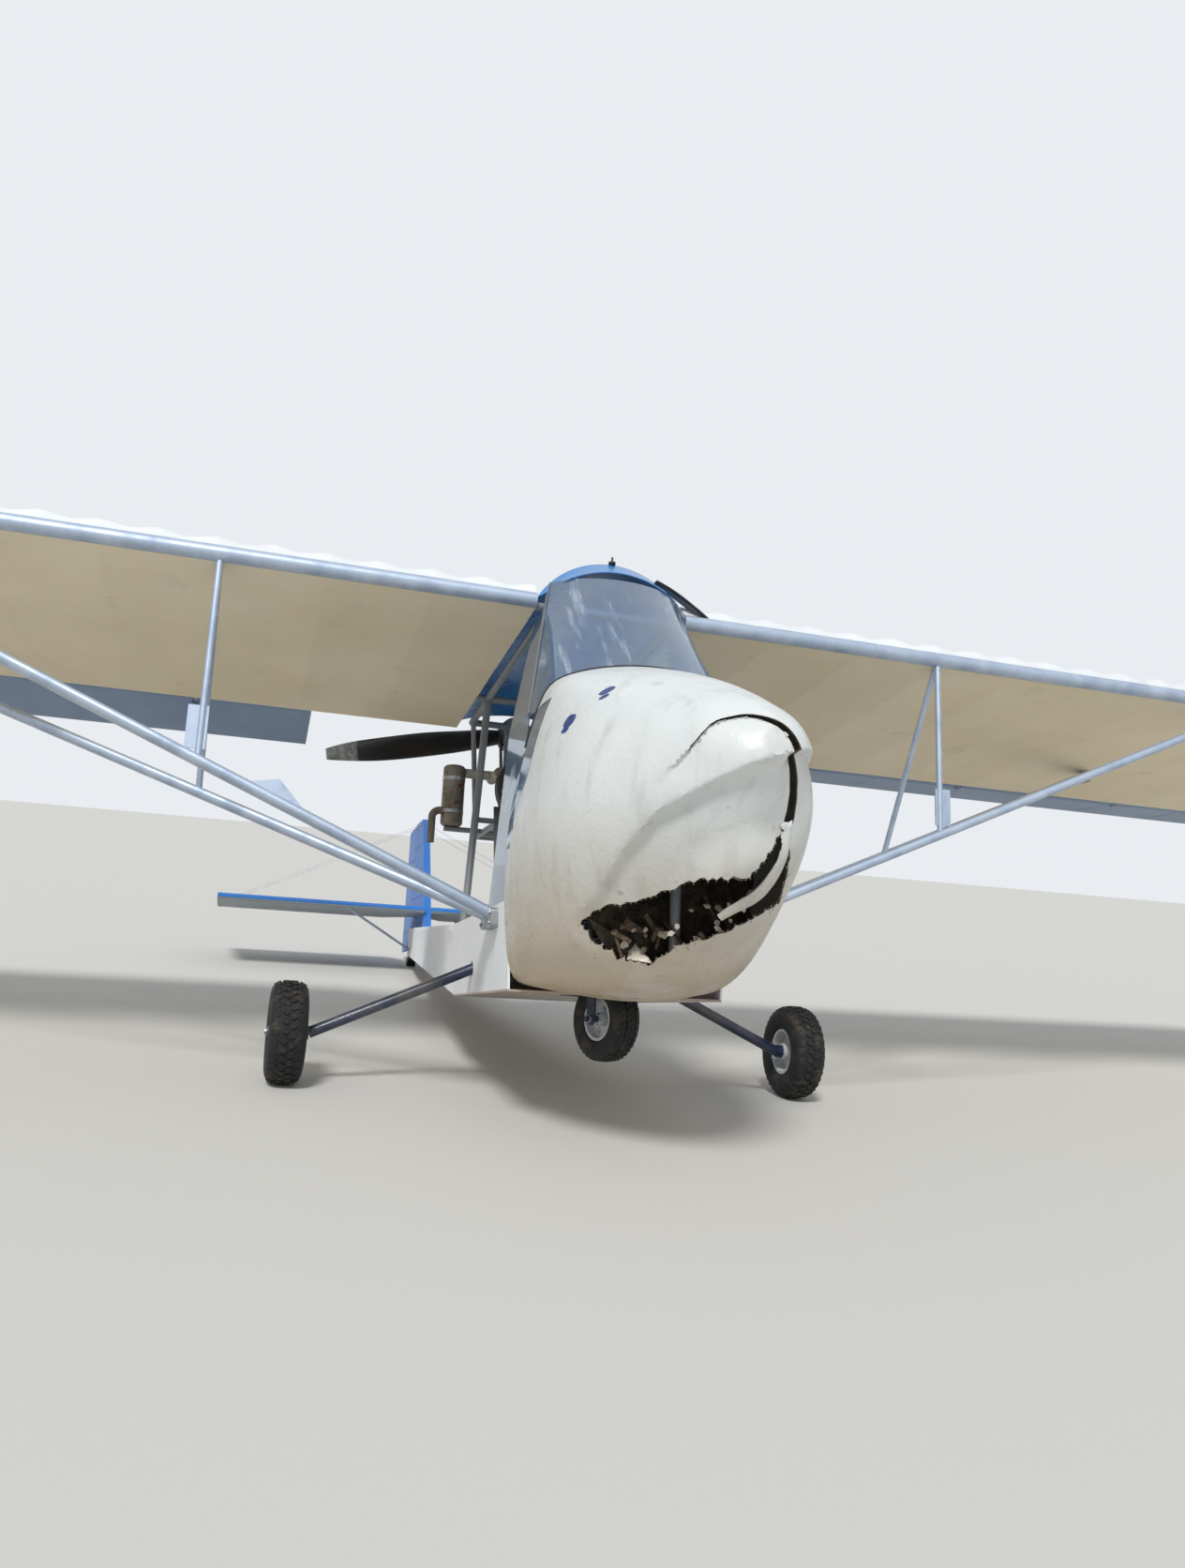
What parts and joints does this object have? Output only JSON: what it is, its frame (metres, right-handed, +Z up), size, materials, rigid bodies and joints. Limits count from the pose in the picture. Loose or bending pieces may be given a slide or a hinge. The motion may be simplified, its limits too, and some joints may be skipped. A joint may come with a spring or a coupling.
{
  "type": "microlight aircraft",
  "caption": "High-wing single-seat microlight aircraft with a pod nose, pusher propeller, braced fabric wings and a crash-torn nose, parked nose-up on its main wheels and tail skid.",
  "frame": {"origin": "on the ground at the middle of the aircraft's outline, as it parks on its main wheels and tail skid", "axes": "+X to the aircraft's left wing tip, -Y towards the nose, +Z up"},
  "size_m": [9, 5.3794, 1.7439],
  "materials": {
    "tyre": "dull black rubber, dusty",
    "rim": "pale grey moulded wheel",
    "leg_paint": "dark navy paint on steel",
    "fibreglass": "off-white gel coat, scuffed, chipped and torn",
    "white_fabric": "doped white fabric",
    "belly_sheet": "dusty beige sheet",
    "clear_sheet": "clear bent sheet with streaks",
    "blue_sheet": "bright blue gloss sheet",
    "frame_tube": "grey painted steel tube",
    "seat_cloth": "dark woven seat cloth",
    "black_plastic": "black moulded plastic",
    "alloy": "bare aluminium alloy",
    "tank_plastic": "translucent off-white plastic",
    "wing_fabric": "cream sailcloth, white along the leading edge",
    "strut_alloy": "pale blue-grey painted alloy tube",
    "pale_blue_fabric": "grey-blue sailcloth",
    "blue_fabric": "bright blue sailcloth",
    "propeller_wood": "dark varnished wood with pale grey tips",
    "engine_alloy": "cast alloy, oily and dusty",
    "rusty_steel": "heat-stained steel with rust"
  },
  "bodies": {
    "airframe": {"aileron_hinges": "alloy", "cabin_frame": "frame_tube", "carburettor": "alloy", "control_stick": "black_plastic", "crank_pulley": "alloy", "crankcase": "engine_alloy", "cylinders": "engine_alloy", "drive_plate": "alloy", "engine_mount": "frame_tube", "exhaust_manifold": "rusty_steel", "fan_housing": "black_plastic", "fin": "blue_fabric", "floor_pan": "belly_sheet", "front_spar_left": "strut_alloy", "front_spar_right": "strut_alloy", "front_strut_left": "strut_alloy", "front_strut_right": "strut_alloy", "fuel_tank": "tank_plastic", "gear_leg_left": "leg_paint", "gear_leg_right": "leg_paint", "instrument_panel": "black_plastic", "jury_strut_left": "strut_alloy", "jury_strut_right": "strut_alloy", "muffler": "rusty_steel", "nose_cone": "fibreglass", "rear_fuselage": "white_fabric", "rear_strut_left": "strut_alloy", "rear_strut_right": "strut_alloy", "rim_strip": "fibreglass", "roof": "blue_sheet", "rudder_pedals": "alloy", "seat": "seat_cloth", "side_panel_left": "white_fabric", "side_panel_right": "white_fabric", "side_window_left": "clear_sheet", "side_window_right": "clear_sheet", "stabilizer_left": "blue_fabric", "stabilizer_right": "blue_fabric", "strut_foot_left": "alloy", "strut_foot_right": "alloy", "tail_brace_left": "strut_alloy", "tail_brace_right": "strut_alloy", "tail_hinges": "alloy", "tail_skid": "black_plastic", "windscreen": "clear_sheet", "wing_left": "wing_fabric", "wing_right": "wing_fabric"},
    "main_wheel_left": {"main_tyre_left": "tyre", "main_rim_left": "rim"},
    "main_wheel_right": {"main_tyre_right": "tyre", "main_rim_right": "rim"},
    "nose_fork": {"nose_fork": "leg_paint"},
    "nose_wheel": {"nose_tyre": "tyre", "nose_rim": "rim"},
    "propeller": {"propeller": "propeller_wood", "propeller_hub": "alloy"},
    "aileron_left": {"aileron_left": "pale_blue_fabric"},
    "aileron_right": {"aileron_right": "pale_blue_fabric"},
    "elevator": {"elevator": "blue_fabric"},
    "rudder": {"rudder": "blue_fabric"}
  },
  "joints": [
    {"name": "main_wheel_left_spin", "type": "hinge", "parent": "airframe", "child": "main_wheel_left", "pos_m": [0.878, -1.24916, 0.16], "axis": [1, 0, 0], "continuous": true},
    {"name": "main_wheel_right_spin", "type": "hinge", "parent": "airframe", "child": "main_wheel_right", "pos_m": [-0.878, -1.24916, 0.16], "axis": [1, 0, 0], "continuous": true},
    {"name": "nose_steering", "type": "hinge", "parent": "airframe", "child": "nose_fork", "pos_m": [0, -1.77046, 0.32149], "axis": [0, 0.1545, 0.988], "range_deg": [-50, 10]},
    {"name": "nose_wheel_spin", "type": "hinge", "parent": "nose_fork", "child": "nose_wheel", "pos_m": [0, -1.77046, 0.32149], "axis": [0.9397, 0.3379, -0.0528], "continuous": true},
    {"name": "propeller_spin", "type": "hinge", "parent": "airframe", "child": "propeller", "pos_m": [0, -0.12057, 1.26691], "axis": [0, 0.988, -0.1545], "continuous": true},
    {"name": "aileron_right_hinge", "type": "hinge", "parent": "airframe", "child": "aileron_right", "pos_m": [-0.85, -0.15646, 1.27411], "axis": [1, 0, 0], "range_deg": [-4, 40]},
    {"name": "aileron_left_hinge", "type": "hinge", "parent": "airframe", "child": "aileron_left", "pos_m": [0.85, -0.15646, 1.27411], "axis": [1, 0, 0], "range_deg": [-22.5, 2.5]},
    {"name": "elevator_hinge", "type": "hinge", "parent": "airframe", "child": "elevator", "pos_m": [0, 2.08, 0.31648], "axis": [1, 0, 0], "range_deg": [-25, 25]},
    {"name": "rudder_hinge", "type": "hinge", "parent": "airframe", "child": "rudder", "pos_m": [0, 2.27512, 0.41855], "axis": [0, 0.1545, 0.988], "range_deg": [-25, 25]}
  ],
  "couplings": [
    {"joint": "aileron_left_hinge", "follows": "aileron_right_hinge", "ratio": -0.55}
  ]
}
